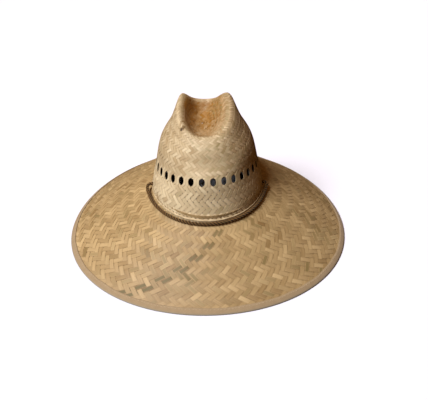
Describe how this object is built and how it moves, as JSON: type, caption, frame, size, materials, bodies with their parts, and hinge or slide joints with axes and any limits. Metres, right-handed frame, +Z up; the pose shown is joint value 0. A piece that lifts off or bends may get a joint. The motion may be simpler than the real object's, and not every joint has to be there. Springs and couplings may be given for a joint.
{
  "type": "fisherman straw hat",
  "caption": "Wide brimmed fisherman hat of plaited palm straw with a pinched crown, a ring of air vents, a taped rim and a brown chin cord round the front of the crown.",
  "frame": {"origin": "on the table under the middle of the hat's bounding box", "axes": "+Z up, the front of the hat looks along -Y, +X is the wearer's left"},
  "size_m": [0.4284, 0.425, 0.2098],
  "materials": {
    "crown_straw": "pale cream plaited palm straw, satin",
    "brim_straw": "tan plaited palm straw, coarser, satin",
    "rim_tape": "folded woven tape, matte",
    "brown_cord": "twisted brown cord, matte"
  },
  "bodies": {
    "root": {"crown": "crown_straw", "brim": "brim_straw", "rim_binding": "rim_tape", "crown_cord": "brown_cord", "chin_cord": "brown_cord"}
  },
  "joints": []
}
